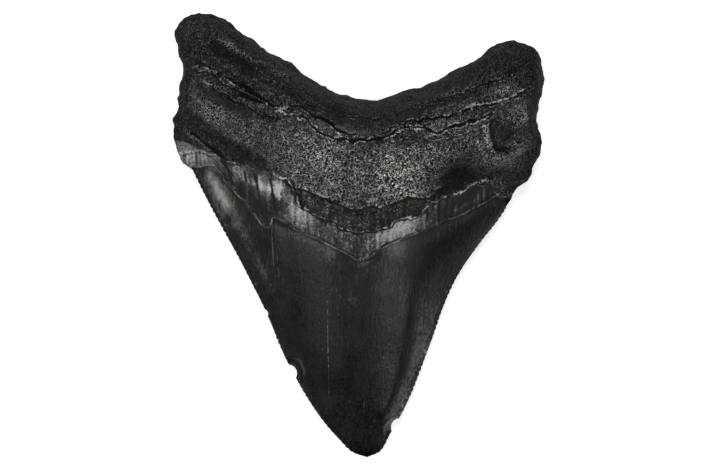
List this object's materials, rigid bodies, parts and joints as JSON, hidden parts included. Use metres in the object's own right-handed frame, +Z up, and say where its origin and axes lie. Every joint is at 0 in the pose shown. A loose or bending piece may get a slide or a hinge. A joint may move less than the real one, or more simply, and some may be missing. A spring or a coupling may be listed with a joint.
{
  "type": "fossil megalodon tooth",
  "caption": "Black fossil megalodon tooth lying on its flat face: serrated triangular crown, V-shaped enamel line, rough two-lobed root with ledge lines and small edge chips",
  "frame": {"origin": "centre of the bounding box in X and Y, on the plane that the tooth lies on", "axes": "+Y runs from the tip of the crown towards the root, +Z is up, out of the domed inner face, and +X is to the right of someone who looks down on that face with the tip towards them"},
  "size_m": [0.0574, 0.0692, 0.0165],
  "materials": {
    "fossil_tooth": "satin black enamel on the crown, rougher pitted black root"
  },
  "bodies": {
    "root": {"tooth": "fossil_tooth"}
  },
  "joints": []
}
